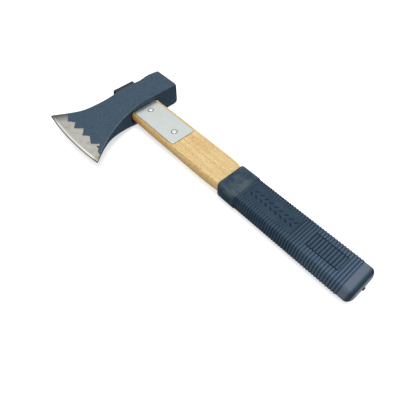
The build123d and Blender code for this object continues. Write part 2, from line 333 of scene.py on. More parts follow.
def lacqueredBeech():
    # steamed beech, planed and lacquered: pale honey, short dark flecks along the grain, painted shade
    # on the narrow sides, deepening towards the head, satin
    material, tree, place = newMaterial("lacqueredBeech")
    values = woodFinish
    colours = {name: linear(value) for name, value in values.items() if str(value).startswith("#")}
    parts = addNode(tree, "SeparateXYZ", links={0: place})
    grainPlace = addNode(tree, "Mapping", {"Scale": (0.014, 0.3, 0.3)}, {0: place})
    grain = addNode(tree, "TexNoise", {"Scale": 1.0, "Detail": 6.0, "Roughness": 0.6, "Distortion": 0.5},
                    {"Vector": grainPlace})
    base = addNode(tree, "ValToRGB", links={0: grain})
    setStops(base, [(0.3, colours["honey"]), (0.6, colours["pale"])])
    patchFar = addNode(tree, "VectorMath", {"operation": "DISTANCE", 1: values["patch"]}, {0: place})
    patchBy = addNode(tree, "MapRange", {
        "From Min": values["patchReach"][1], "From Max": values["patchReach"][0], "To Max": 0.45},
        {"Value": patchFar.outputs["Value"]})
    patched = addNode(tree, "Mix", {"data_type": "RGBA", 7: colours["honey"]}, {
        0: patchBy, 6: base})
    # painted shade: faces turned sideways are painted darker
    facing = addNode(tree, "TexCoord")
    facingParts = addNode(tree, "SeparateXYZ", links={0: facing.outputs["Normal"]})
    sideways = addNode(tree, "Math", {"operation": "ABSOLUTE"}, {0: facingParts.outputs["Y"]})
    sideShadeBy = addNode(tree, "MapRange", {"From Min": 0.5, "From Max": 0.95, "To Max": 0.55},
                     {"Value": sideways})
    sideShaded = addNode(tree, "Mix", {"data_type": "RGBA", 7: colours["side"]}, {
        0: sideShadeBy, 6: patched.outputs[2]})
    nearHead = addNode(tree, "MapRange", {
        "From Min": values["sideNearHeadFrom"][0], "From Max": values["sideNearHeadFrom"][1]},
        {"Value": parts.outputs["X"]})
    sideNearHeadBy = addNode(tree, "Math", {"operation": "MULTIPLY"}, {0: nearHead, 1: sideShadeBy})
    sideNearHeadShaded = addNode(tree, "Mix", {"data_type": "RGBA", 7: colours["sideNearHeadShade"]}, {
        0: sideNearHeadBy, 6: sideShaded.outputs[2]})

    # rays and pores: flecks a few millimetres long, and ticks where they break out on the ridges
    fleckPlace = addNode(tree, "Mapping", {"Scale": (0.3, 1.1, 1.1)}, {0: place})
    fleck = addNode(tree, "TexNoise", {"Scale": 1.0, "Detail": 3.0, "Roughness": 0.65},
                    {"Vector": fleckPlace})
    fleckBy = addNode(tree, "MapRange", {"From Min": 0.53, "From Max": 0.68, "To Max": 0.85},
                      {"Value": fleck})
    flecked = addNode(tree, "Mix", {"data_type": "RGBA", 7: colours["streak"]}, {
        0: fleckBy, 6: sideNearHeadShaded.outputs[2]})
    ridge = addNode(tree, "AmbientOcclusion", {
        "samples": 8, "inside": True, "only_local": True, "Distance": values["ridgeReach"] * mm})
    ridgeBy = addNode(tree, "MapRange", {"From Min": 0.85, "From Max": 0.6}, {"Value": ridge.outputs["AO"]})
    tickFrom = addNode(tree, "MapRange", {"From Min": 0.5, "From Max": 0.58, "To Max": 0.8},
                       {"Value": fleck})
    tickBy = addNode(tree, "Math", {"operation": "MULTIPLY"}, {0: ridgeBy, 1: tickFrom})
    ticked = addNode(tree, "Mix", {"data_type": "RGBA", 7: colours["tick"]}, {
        0: tickBy, 6: flecked.outputs[2]})
    dipFrom, dipBlur = values["dipFrom"], values["dipBlur"]
    dipped = addNode(tree, "MapRange", {"From Min": dipFrom - dipBlur, "From Max": dipFrom + dipBlur},
                     {"Value": parts.outputs["X"]})
    colour = addNode(tree, "Mix", {"data_type": "RGBA", 7: colours["dip"]}, {
        0: dipped, 6: ticked.outputs[2]})
    rough = addNode(tree, "MapRange", {"To Min": 0.38, "To Max": 0.55}, {"Value": fleck})
    bump = addNode(tree, "Bump", {"Strength": 0.2, "Distance": 0.1 * mm}, {"Height": fleck})
    finishMaterial(tree, {}, {"Base Color": colour.outputs[2], "Roughness": rough, "Normal": bump})
    return material


zincFinish = {
    "bright": "#dce1de", "dull": "#ccd3d0", "shadeAndGrime": "#1d2021", "shadeAndGrimeReach": 0.9,
    "ring": (2.75, 3.05, 3.35, 3.8),    # mm from a rivet's middle: where its ring of painted shade and grime rises and falls
}


def zincPlatedSheet():
    # mild steel sheet, bright zinc plated: pale, with faint clouds and rolling lines, and painted shade,
    # patchy like grime, in the creases round the rivets
    material, tree, place = newMaterial("zincPlatedSheet")
    cloud = addNode(tree, "TexNoise", {"Scale": 0.15, "Detail": 4.0}, {"Vector": place})
    sheet = addNode(tree, "Mix", {
        "data_type": "RGBA", 6: linear(zincFinish["bright"]), 7: linear(zincFinish["dull"])}, {0: cloud})
    # painted shade in the creases and a painted dark ring round each rivet, broken into patches like grime
    crease = addNode(tree, "AmbientOcclusion", {"samples": 8, "Distance": zincFinish["shadeAndGrimeReach"] * mm})
    patchy = addNode(tree, "TexNoise", {"Scale": 0.45, "Detail": 2.0}, {"Vector": place})
    creaseBy = addNode(tree, "MapRange", {"From Min": 0.85, "From Max": 0.55},
                       {"Value": crease.outputs["AO"]})
    patchyBy = addNode(tree, "MapRange", {"From Min": 0.4, "From Max": 0.55, "To Min": 0.25},
                       {"Value": patchy})
    shadeAndGrime = creaseBy
    inPlane = addNode(tree, "VectorMath", {"operation": "MULTIPLY", 1: (1, 1, 0)}, {0: place})
    for x, y in rivetPlaces():
        far = addNode(tree, "VectorMath", {"operation": "DISTANCE", 1: (x, y, 0)}, {0: inPlane})
        riseStart, riseEnd, fallStart, fallEnd = zincFinish["ring"]
        rise = addNode(tree, "MapRange", {"From Min": riseStart, "From Max": riseEnd},
                       {"Value": far.outputs["Value"]})
        fall = addNode(tree, "MapRange", {"From Min": fallEnd, "From Max": fallStart},
                       {"Value": far.outputs["Value"]})
        ringBy = addNode(tree, "Math", {"operation": "MULTIPLY"}, {0: rise, 1: fall})
        shadeAndGrime = addNode(tree, "Math", {"operation": "MAXIMUM"}, {0: shadeAndGrime, 1: ringBy})
    shadeAndGrimeBy = addNode(tree, "Math", {"operation": "MULTIPLY"}, {0: shadeAndGrime, 1: patchyBy})
    colour = addNode(tree, "Mix", {"data_type": "RGBA", 7: linear(zincFinish["shadeAndGrime"])}, {
        0: shadeAndGrimeBy, 6: sheet.outputs[2]})
    rough = addNode(tree, "MapRange", {"To Min": 0.26, "To Max": 0.4}, {"Value": cloud})
    lines = addNode(tree, "Mapping", {"Scale": (0.05, 3.0, 3.0)}, {0: place})
    roll = addNode(tree, "TexNoise", {"Scale": 1.0, "Detail": 2.0}, {"Vector": lines})
    bump = addNode(tree, "Bump", {"Strength": 0.1, "Distance": 0.05 * mm}, {"Height": roll})
    finishMaterial(tree, {"Metallic": 1.0}, {
        "Base Color": colour.outputs[2], "Roughness": rough, "Normal": bump})
    return material


wedgeFinish = {"oxide": "#33353a", "rubbed": "#6a6c70"}


def blackOxideSteel():
    # hot rolled mild steel wedge: dull, dark grey oxide with lighter rubbed patches
    material, tree, place = newMaterial("blackOxideSteel")
    cloud = addNode(tree, "TexNoise", {"Scale": 0.5, "Detail": 4.0}, {"Vector": place})
    colour = addNode(tree, "Mix", {
        "data_type": "RGBA", 6: linear(wedgeFinish["oxide"]), 7: linear(wedgeFinish["rubbed"])}, {0: cloud})
    rough = addNode(tree, "MapRange", {"To Min": 0.45, "To Max": 0.7}, {"Value": cloud})
    finishMaterial(tree, {"Metallic": 1.0}, {"Base Color": colour.outputs[2], "Roughness": rough})
    return material


gripFinish = {
    "gloss": 0.22,
    # how the navy pales along the grip, as painted light on the butt face and by the window and as wear on
    # the pad: mm from the butt face, colour
    "palingLightAndWear": ((0.0, "#868e95"), (2.2, "#747d85"), (2.9, "#172c3c"), (5.2, "#1c3243"), (7.4, "#4e5a68"),
               (13.0, "#4e5a68"), (13.6, "#2a4056"), (50.0, "#263d51"), (66.0, "#142d40"),
               (151.3, "#162e40")),
    "crestHighlightAndWear": "#6d7c8c", "crestHighlightBy": (0.36, 0.06),    # painted highlight with wear on the ribs' crests, and how strong at butt and collar
    "crestAt": 0.58,                    # where the crest lies in a rib's pitch
    "mottle": "#59625f", "mottleBy": (0.15, 0.7),   # on the ribs and on the collar
    # painted shade in the grooves, the window, the dashes, the creases and round the butt's stub, with some
    # grime
    "recessShadeAndGrime": "#04101a", "recessShadeAndGrimeReach": 1.2,
    # half widths of the smooth panel and of the window, by mm from the butt face, where no rib shows
    "plain": ((0.0, 0.0), (23.2, 8.4), (55.4, 0.0), (70.2, 10.3), (124.2, 0.0)),
}


def mouldedVinyl():
    # soft PVC, injection moulded: navy, satin with a fine grain, paler and mottled where hands and the
    # ground rub it, with painted light on the butt face and the ribs' crests and painted shade in the grooves
    # and recesses
    material, tree, place = newMaterial("mouldedVinyl")
    values = gripFinish
    low, high = [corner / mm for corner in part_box("grip_sleeve")]
    midY, midZ, length = (low[1] + high[1]) / 2, (low[2] + high[2]) / 2, high[0] - low[0]
    ribStart, ribStop = gripShape["padLength"], length - gripShape["collarLength"]
    fromButt = addNode(tree, "VectorMath", {"operation": "SUBTRACT", 1: (low[0], midY, midZ)}, {0: place})
    size = addNode(tree, "VectorMath", {"operation": "ABSOLUTE"}, {0: fromButt})
    parts = addNode(tree, "SeparateXYZ", links={0: size})
    along = addNode(tree, "MapRange", {"From Max": length}, {"Value": parts.outputs["X"]})
    palingLightAndWear = addNode(tree, "ValToRGB", links={0: along})
    setStops(palingLightAndWear, [(at / length, linear(colour)) for at, colour in values["palingLightAndWear"]])
    cloud = addNode(tree, "TexNoise", {"Scale": 0.1, "Detail": 7.0, "Roughness": 0.7}, {"Vector": place})
    onRibs = addNode(tree, "Math", {
        "operation": "COMPARE", 1: (ribStart + ribStop) / 2, 2: (ribStop - ribStart) / 2},
        {0: parts.outputs["X"]})
    mottleMost = addNode(tree, "MapRange", {
        "From Min": ribStop - 0.5, "From Max": ribStop,
        "To Min": values["mottleBy"][0], "To Max": values["mottleBy"][1]}, {"Value": parts.outputs["X"]})
    mottleBy = addNode(tree, "MapRange", {"From Min": 0.42, "From Max": 0.75},
                       {"Value": cloud, "To Max": mottleMost})
    mottled = addNode(tree, "Mix", {"data_type": "RGBA", 7: linear(values["mottle"])}, {
        0: mottleBy, 6: palingLightAndWear})

    # the ribs' pattern, except on the panel and in the window
    plain = addNode(tree, "ValToRGB", links={0: along})
    plain.color_ramp.interpolation = "CONSTANT"
    widest = 20.0       # mm, what white on the ramp stands for
    setStops(plain, [(at / length, (half / widest,) * 3 + (1,)) for at, half in values["plain"]])
    plainHalf = addNode(tree, "Math", {"operation": "MULTIPLY", 1: widest}, {0: plain})
    isPlain = addNode(tree, "Math", {"operation": "LESS_THAN"}, {0: parts.outputs["Y"], 1: plainHalf})
    isRibbed = addNode(tree, "Math", {"operation": "SUBTRACT", "use_clamp": True}, {
        0: onRibs, 1: isPlain})
    ribs = addNode(tree, "MapRange", {
        "clamp": False, "From Min": ribStart, "From Max": ribStop, "To Max": gripShape["ribCount"]},
        {"Value": parts.outputs["X"]})
    phase = addNode(tree, "Math", {"operation": "FRACT"}, {0: ribs})
    crestFar = addNode(tree, "Math", {"operation": "SUBTRACT", 1: values["crestAt"]}, {0: phase})
    crestAway = addNode(tree, "Math", {"operation": "ABSOLUTE"}, {0: crestFar})
    crestMost = addNode(tree, "MapRange", {
        "From Min": 0.1, "From Max": 0.8, "To Min": values["crestHighlightBy"][0], "To Max": values["crestHighlightBy"][1]},
        {"Value": along})
    crestOn = addNode(tree, "Math", {"operation": "MULTIPLY"}, {0: crestMost, 1: isRibbed})
    # painted highlight along each rib's crest, with some wear
    crestHighlightBy = addNode(tree, "MapRange", {"From Min": 0.22, "From Max": 0.04},
                      {"Value": crestAway, "To Max": crestOn})
    crestHighlighted = addNode(tree, "Mix", {"data_type": "RGBA", 7: linear(values["crestHighlightAndWear"])}, {
        0: crestHighlightBy, 6: mottled.outputs[2]})
    # painted shade in the grooves, in the sunken pocket and dashes, in creases and round the stub
    trough = addNode(tree, "MapRange", {"From Min": 0.28, "From Max": 0.42, "To Max": 0.42},
                     {"Value": crestAway})
    troughOn = addNode(tree, "Math", {"operation": "MULTIPLY"}, {0: trough, 1: isRibbed})
    sunk = addNode(tree, "MapRange", {
        "From Min": midZ - low[2] - 0.1, "From Max": midZ - low[2] - 0.35, "To Max": 0.9},
        {"Value": parts.outputs["Z"]})
    sunkOn = addNode(tree, "Math", {"operation": "MULTIPLY"}, {0: sunk, 1: isPlain})
    crease = addNode(tree, "AmbientOcclusion", {"samples": 8, "Distance": values["recessShadeAndGrimeReach"] * mm})
    creaseBy = addNode(tree, "MapRange", {"From Min": 0.8, "From Max": 0.45, "To Max": 0.85},
                       {"Value": crease.outputs["AO"]})
    fromAxis = addNode(tree, "VectorMath", {"operation": "LENGTH"}, {0: fromButt})
    nubRadius = gripShape["nub"][0]
    nubBy = addNode(tree, "MapRange", {
        "From Min": nubRadius + 0.8, "From Max": nubRadius + 0.4, "To Max": 0.95},
        {"Value": fromAxis.outputs["Value"]})
    sunkOrNub = addNode(tree, "Math", {"operation": "MAXIMUM"}, {0: sunkOn, 1: nubBy})
    deep = addNode(tree, "Math", {"operation": "MAXIMUM"}, {0: troughOn, 1: sunkOrNub})
    recessShadeAndGrimeBy = addNode(tree, "Math", {"operation": "MAXIMUM"}, {0: deep, 1: creaseBy})
    colour = addNode(tree, "Mix", {"data_type": "RGBA", 7: linear(values["recessShadeAndGrime"])}, {
        0: recessShadeAndGrimeBy, 6: crestHighlighted.outputs[2]})
    rough = addNode(tree, "MapRange", {"To Min": 0.38, "To Max": 0.58}, {"Value": cloud})
    grain = addNode(tree, "TexNoise", {"Scale": 1.4, "Detail": 3.0}, {"Vector": place})
    bump = addNode(tree, "Bump", {"Strength": 0.25, "Distance": 0.08 * mm}, {"Height": grain})
    finishMaterial(tree, {"Specular IOR Level": values["gloss"]}, {
        "Base Color": colour.outputs[2], "Roughness": rough, "Normal": bump})
    return material


def wear(name, material):
    # a CAD piece that keeps its shape gets its finish
    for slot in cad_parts[name].material_slots:
        slot.material = material


def wearOnly(obj, material):
    obj.data.materials.clear()
    obj.data.materials.append(material)


# modelling helpers: all sizes are in millimetres

def pick(kind, test):
    # in edit mode, selects the vertices, edges or faces that pass the test
    bpy.ops.mesh.select_mode(type=kind)
    bpy.ops.mesh.select_all(action="DESELECT")
    mesh = bmesh.from_edit_mesh(bpy.context.object.data)
    for part in {"VERT": mesh.verts, "EDGE": mesh.edges, "FACE": mesh.faces}[kind]:
        if test(part):
            part.select_set(True)
    mesh.select_flush_mode()
    bmesh.update_edit_mesh(bpy.context.object.data)


def editOn():
    bpy.ops.object.mode_set(mode="EDIT")


def editOff():
    bpy.ops.object.mode_set(mode="OBJECT")


def useOnly(obj):
    bpy.ops.object.select_all(action="DESELECT")
    obj.select_set(True)
    bpy.context.view_layer.objects.active = obj


def spot(axis, along, across):
    # a point from its place along the axis and its two places across it
    first, second = across
    places = {"X": (along, first, second), "Y": (first, along, second), "Z": (first, second, along)}
    return Vector(places[axis])


def addSection(name, axis, ring, cut=None, segments=3, profile=0.5):
    # open outline across an axis at a ring (place along, centre, half sizes): a rectangle whose corners
    # are cut by that much each way, or an ellipse if there is no cut
    along, centre, half = ring
    turn = {"X": (0, math.pi / 2, 0), "Y": (math.pi / 2, 0, 0), "Z": (0, 0, 0)}[axis]
    bpy.ops.object.select_all(action="DESELECT")
    if cut:
        bpy.ops.mesh.primitive_plane_add(size=2, rotation=turn)
    else:
        bpy.ops.mesh.primitive_circle_add(vertices=segments, radius=1, fill_type="NGON", rotation=turn)
    obj = bpy.context.object
    obj.name = name
    bpy.ops.object.transform_apply(location=False, rotation=True, scale=False)
    editOn()
    squeeze = cut[1] / cut[0] if cut else 1
    bpy.ops.transform.resize(value=spot(axis, 1, (half[0] * mm, half[1] * mm / squeeze)))
    if cut:
        bpy.ops.mesh.bevel(offset=cut[0] * mm, segments=segments, profile=profile, affect="VERTICES")
        bpy.ops.transform.resize(value=spot(axis, 1, (1, squeeze)))
    bpy.ops.transform.translate(value=spot(axis, along, centre) * mm)
    bpy.ops.mesh.delete(type="ONLY_FACE")
    bpy.ops.mesh.select_all(action="SELECT")
    return obj


def growRings(axis, rings):
    # extrudes the selected outline from the first ring, which it already has, through the others
    for (oldAlong, oldCentre, oldHalf), (along, centre, half) in zip(rings, rings[1:]):
        step = spot(axis, along, centre) - spot(axis, oldAlong, oldCentre)
        bpy.ops.mesh.extrude_region_move(TRANSFORM_OT_translate={"value": step * mm})
        bpy.ops.transform.resize(value=spot(axis, 1, (half[0] / oldHalf[0], half[1] / oldHalf[1])),
                                 center_override=spot(axis, along, centre) * mm)


def closeAndOrient():
    bpy.ops.mesh.select_all(action="SELECT")
    bpy.ops.mesh.normals_make_consistent(inside=False)
    editOff()


def tube(name, axis, rings, **section):
    # closed solid through all its rings
    obj = addSection(name, axis, rings[0], **section)
    bpy.ops.mesh.edge_face_add()
    growRings(axis, rings)
    closeAndOrient()
    return obj


def smoothValue(points, at):
    # smooth curve through given points (place, value): Catmull and Rom's
    last = len(points) - 1
    i = max(k for k in range(last) if at >= points[k][0] or k == 0)
    (x0, v0), (x1, v1) = points[i], points[i + 1]
    before, after = points[max(i - 1, 0)], points[min(i + 2, last)]
    slope0 = (v1 - before[1]) / (x1 - before[0]) * (x1 - x0)
    slope1 = (after[1] - v0) / (after[0] - x0) * (x1 - x0)
    t = (at - x0) / (x1 - x0)
    return (v0 * (2 * t ** 3 - 3 * t ** 2 + 1) + v1 * (3 * t ** 2 - 2 * t ** 3)
            + slope0 * (t ** 3 - 2 * t ** 2 + t) + slope1 * (t ** 3 - t ** 2))


def addBlock(name, low, high, rounding=0.0):
    # closed block between two corners, with its edges rounded
    bpy.ops.object.select_all(action="DESELECT")
    low, high = Vector(low) * mm, Vector(high) * mm
    bpy.ops.mesh.primitive_cube_add(size=1, location=(low + high) / 2, scale=high - low)
    block = bpy.context.object
    block.name = name
    bpy.ops.object.transform_apply(location=True, rotation=True, scale=True)
    if rounding:
        editOn()
        bpy.ops.mesh.bevel(offset=rounding * mm, segments=2, profile=0.5)
        editOff()
    return block


def applyModifier(obj, kind, **settings):
    useOnly(obj)
    modifier = obj.modifiers.new(kind.lower(), kind)
    for name, value in settings.items():
        setattr(modifier, name, value)
    bpy.ops.object.modifier_apply(modifier=modifier.name)


def combine(obj, other, operation):
    # joins or cuts obj with another closed piece, which is used up
    applyModifier(obj, "BOOLEAN", operation=operation, solver="EXACT", object=other)
    bpy.data.objects.remove(other)


def repeat(obj, count, step, merge=False):
    applyModifier(obj, "ARRAY", count=count, use_relative_offset=False, use_constant_offset=True,
                  constant_offset_displace=Vector(step) * mm, use_merge_vertices=merge,
                  merge_threshold=0.01 * mm)


def flipCopy(obj, centreZ):
    # the same thing on the lower face: joined to obj, mirrored about the mid-plane
    useOnly(obj)
    editOn()
    bpy.ops.mesh.select_all(action="SELECT")
    bpy.ops.mesh.duplicate_move()
    bpy.ops.transform.resize(value=(1, 1, -1), center_override=(0, 0, centreZ * mm))
    bpy.ops.mesh.flip_normals()
    editOff()


def finishPiece(obj, material, slot, *nodes, angle=35):
    # origin to the object's base, smooth shading, and the CAD nodes that it stands for
    useOnly(obj)
    bpy.ops.object.transform_apply(location=True, rotation=True, scale=True)
    wearOnly(obj, material)
    bpy.ops.object.shade_smooth_by_angle(angle=math.radians(angle))
    applyModifier(obj, "WEIGHTED_NORMAL", mode="FACE_AREA", weight=80, keep_sharp=True)
    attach(obj, "root")
    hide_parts(*nodes)
    print(obj.name, "made:", len(obj.data.polygons), "faces")


# grip sleeve

gripShape = {
    "padLength": 13.2, "collarLength": 22.9,
    "ribCount": 41, "ribHalfWidth": 17.3, "grooveDepth": 0.42, "ribSink": 0.12,
    # along the pitch, and how deep as a share of the groove
    "ribProfile": ((0.0, 1.0), (0.16, 1.0), (0.28, 0.45), (0.42, 0.05), (0.62, 0.0), (0.8, 0.1), (0.93, 0.55),
                   (1.0, 1.0)),
    "cornerCut": (2.4, 3.7), "cornerSegments": 4, "cornerProfile": 0.38,
    "padHalfWidth": 16.5,
    # roundings as (way in from the end, how much narrower, how much thinner each side)
    "mouthRound": ((2.6, 0.0, 0.0), (1.4, 0.3, 0.1), (0.6, 0.8, 0.4), (0.15, 1.4, 0.8), (0.0, 1.9, 1.1)),
    "buttRound": ((6.1, 0.0, 0.0), (4.9, 0.15, 0.45), (3.9, 0.5, 1.2), (3.2, 0.95, 2.0), (2.6, 1.5, 2.9),
                  (1.9, 2.2, 4.2), (1.5, 2.9, 5.7), (1.25, 3.6, 7.0), (1.1, 4.3, 8.4), (1.05, 5.0, 9.3)),
    "nub": (1.7, 0.9),                  # radius and length of the moulding gate's stub at the butt
    "panel": (70.2, 124.2, 10.3), "panelRound": 0.3,    # from the butt: start, end, half width
    "dashCount": 9, "dashSize": (2.5, 0.85, 0.65), "dashRow": 2.6, "dashTurn": -38,
    "window": (23.2, 55.4, 8.4), "windowDepth": 1.1,
    "barCount": 10, "frameGap": 0.8, "barGap": 0.8, "barRound": 0.35,
    # the hollow: half widths at the butt and at the mouth, half thickness, room round the wood, rounding
    "tangHalf": 13.6, "mouthHalf": 16.9, "woodHalf": 6.0, "woodRoom": 0.3, "tangRound": 2.6,
}


def buildSleeveOutside(low, high, centre):
    # one rib, repeated, and then the collar and the pad grown from its two open ends
    values = gripShape
    ribHalf, halfThick = values["ribHalfWidth"], (high[2] - low[2]) / 2
    depth, sunk = values["grooveDepth"], values["ribSink"]
    start, stop, butt, mouth = low[0] + values["padLength"], high[0] - values["collarLength"], low[0], high[0]
    pitch = (stop - start) / values["ribCount"]

    def ring(along, half, thick):
        return along, centre, (half, thick)

    rib = [ring(start + way * pitch, ribHalf - depth * deep, halfThick - sunk - depth * deep)
           for way, deep in values["ribProfile"]]
    sleeve = addSection("grip", "X", rib[0], cut=values["cornerCut"], segments=values["cornerSegments"],
                        profile=values["cornerProfile"])
    growRings("X", rib)
    editOff()
    repeat(sleeve, values["ribCount"], (pitch, 0, 0), merge=True)
    grooveHalf, grooveThick = rib[0][2]
    collarHalf, padHalf = (high[1] - low[1]) / 2, values["padHalfWidth"]

    editOn()
    pick("VERT", lambda v: v.co.x > (stop - 0.01) * mm)
    growRings("X", [ring(stop, grooveHalf, grooveThick)] + [
        ring(stop + way, collarHalf - narrow, halfThick - thin)
        for way, narrow, thin in ((0.3, 0.35, 0.25), (0.7, 0.0, 0.0))] + [
        ring(mouth - way, collarHalf - narrow, halfThick - thin)
        for way, narrow, thin in values["mouthRound"]])
    bpy.ops.mesh.edge_face_add()
    pick("VERT", lambda v: v.co.x < (start + 0.01) * mm)
    growRings("X", [ring(start, grooveHalf, grooveThick)] + [
        ring(start - way, padHalf - narrow, halfThick - thin)
        for way, narrow, thin in ((0.3, 0.2, 0.3), (0.7, 0.0, 0.0))] + [
        ring(butt + way, padHalf - narrow, halfThick - thin) for way, narrow, thin in values["buttRound"]])
    bpy.ops.mesh.edge_face_add()
    closeAndOrient()
    return sleeve


def buildGrip():
    values = gripShape
    low, high = [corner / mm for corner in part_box("grip_sleeve")]
    centre = ((low[1] + high[1]) / 2, (low[2] + high[2]) / 2)
    midY, midZ = centre
    top = high[2]
    sleeve = buildSleeveOutside(low, high, centre)

    # smooth panel between the ribs, on both broad faces
    start, stop, half = values["panel"]
    panel = addBlock("panel", (low[0] + start, midY - half, midZ + 2), (low[0] + stop, midY + half, top),
                     rounding=values["panelRound"])
    flipCopy(panel, midZ)
    combine(sleeve, panel, "UNION")

    # two staggered rows of dashes, slanted opposite ways, pressed into the panel
    row, turn = values["dashRow"], math.radians(values["dashTurn"])
    pitch = (stop - start) / (values["dashCount"] + 0.5)
    bpy.ops.object.select_all(action="DESELECT")
    bpy.ops.mesh.primitive_uv_sphere_add(segments=12, ring_count=8, radius=1)
    dash = bpy.context.object
    editOn()
    bpy.ops.transform.resize(value=Vector(values["dashSize"]) * mm)
    bpy.ops.transform.rotate(value=turn, orient_axis="Z", center_override=(0, 0, 0))
    first = Vector((low[0] + start + 0.5 * pitch, midY - row, top)) * mm
    across = Vector((0.5 * pitch, 2 * row, 0)) * mm
    bpy.ops.transform.translate(value=first)
    bpy.ops.mesh.duplicate_move(TRANSFORM_OT_translate={"value": across})
    bpy.ops.transform.rotate(value=-2 * turn, orient_axis="Z", center_override=first + across)
    editOff()
    repeat(dash, values["dashCount"], (pitch, 0, 0))
    flipCopy(dash, midZ)
    combine(sleeve, dash, "DIFFERENCE")

    # framed bars near the butt: a pocket, and the bars standing in it
    start, stop, half = values["window"]
    floorZ = top - values["windowDepth"]
    pocket = addBlock("pocket", (low[0] + start, midY - half, floorZ), (low[0] + stop, midY + half, top + 3))
    flipCopy(pocket, midZ)
    combine(sleeve, pocket, "DIFFERENCE")
    room, gap = values["frameGap"], values["barGap"]
    pitch = (stop - start - 2 * room + gap) / values["barCount"]
    bar = addBlock("bar", (low[0] + start + room, midY - half + room, floorZ - 1),
                   (low[0] + start + room + pitch - gap, midY + half - room, top),
                   rounding=values["barRound"])
    repeat(bar, values["barCount"], (pitch, 0, 0))
    flipCopy(bar, midZ)
    combine(sleeve, bar, "UNION")

    # stub of the moulding gate, on the parting line of the butt
    radius, length = values["nub"]
    stub = tube("stub", "X", [(low[0] + way, centre, (radius - narrow,) * 2) for way, narrow in (
        (0.0, 0.35), (0.2, 0.1), (0.5, 0.0), (length + 1.5, 0.0))], segments=16)
    combine(sleeve, stub, "UNION")

    # room for the wooden tang, open at the collar
    woodLow, woodHigh = [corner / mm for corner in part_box("handle")]
    room = values["woodRoom"]
    tangHalf, mouthHalf, woodHalf = [values[name] + room for name in ("tangHalf", "mouthHalf", "woodHalf")]
    hollow = addBlock("hollow", (woodLow[0] - room, midY - tangHalf, midZ - woodHalf),
                      (high[0] + 1, midY + tangHalf, midZ + woodHalf))
    editOn()
    pick("VERT", lambda v: v.co.x > high[0] * mm)
    bpy.ops.transform.resize(value=(1, mouthHalf / tangHalf, 1), center_override=(0, midY * mm, 0))
    pick("EDGE", lambda e: abs(e.verts[0].co.x - e.verts[1].co.x) > 50 * mm)
    bpy.ops.mesh.bevel(offset=values["tangRound"] * mm, segments=3)
    editOff()
    combine(sleeve, hollow, "DIFFERENCE")
    return sleeve


# head

headShape = {
    # all from the eye's middle: Y towards the edge, X up the blade's toe side or down its heel side
    "toeSide": ((-50, 16.6), (-45, 17.5), (-38, 18.7), (-32, 19.0), (-26, 18.2), (-20, 17.1), (-6, 17.6),
                (14, 18.0), (32, 20.4), (51, 26.3), (66, 34.6), (84.0, 46.4), (92, 52.4)),
    "heelSide": ((-50, 17.3), (-45, 17.3), (-30, 17.3), (-6, 17.3), (14, 18.0), (32, 20.4), (51, 26.3),
                 (66, 34.6), (83.8, 48.4), (92, 55.0)),
    "halfThick": ((-50, 13.0), (-20, 13.0), (2, 13.0), (6, 12.85), (18, 10.6), (36, 6.9), (54, 3.2),
                  (66, 2.0), (84.7, 0.97), (92, 0.6)),
    "toeReach": 46.5, "edgeReach": 87.1,    # from the eye's middle to the toe and to the edge
    "pollRound": 2.0, "lowerPollRound": 6.5, "pollCrown": 0.25, "crownShare": 0.6,
    "ringStep": 2.6, "lastRing": 91, "cornerRound": 0.7,    # the last ring is past the edge, to be ground off
    # the grinding: way back from the edge and half thickness left
    "edgeRadius": 354.0, "hone": ((0.0, 0.04), (0.3, 0.24), (2.4, 0.97), (75.0, 26.5)), "discSweep": 10,
    "discDepth": 160.0,                 # back from the edge, past the poll
    "eyeHalf": (18.7, 7.35), "eyeTopHalf": (15.4, 7.3), "eyeLean": -2.2, "eyeChamfer": 0.6,
    "eyeEnds": (-17.6, 17.8),
}


def grindingDisc(mid, edgeY, midZ):
    # all that grinding leaves: a sector of a disc whose rim is the honed edge
    values = headShape
    radius = values["edgeRadius"]
    bpy.ops.object.select_all(action="DESELECT")
    upper = [(edgeY - way, half) for way, half in values["hone"]]
    upper.append((edgeY - values["discDepth"], values["hone"][-1][1]))
    outline = upper + [(y, -half) for y, half in reversed(upper)]
    bpy.ops.mesh.primitive_circle_add(vertices=len(outline), fill_type="NGON")
    disc = bpy.context.object
    for vertex, (y, half) in zip(disc.data.vertices, outline):
        vertex.co = Vector((mid, y, midZ + half)) * mm
    centre = Vector((mid, edgeY - radius, midZ)) * mm
    reach = math.radians(values["discSweep"])
    editOn()
    bpy.ops.mesh.select_all(action="SELECT")
    bpy.ops.transform.rotate(value=-reach, orient_axis="Z", center_override=centre)
    bpy.ops.mesh.spin(steps=60, angle=2 * reach, center=centre, axis=(0, 0, 1))
    closeAndOrient()
    return disc


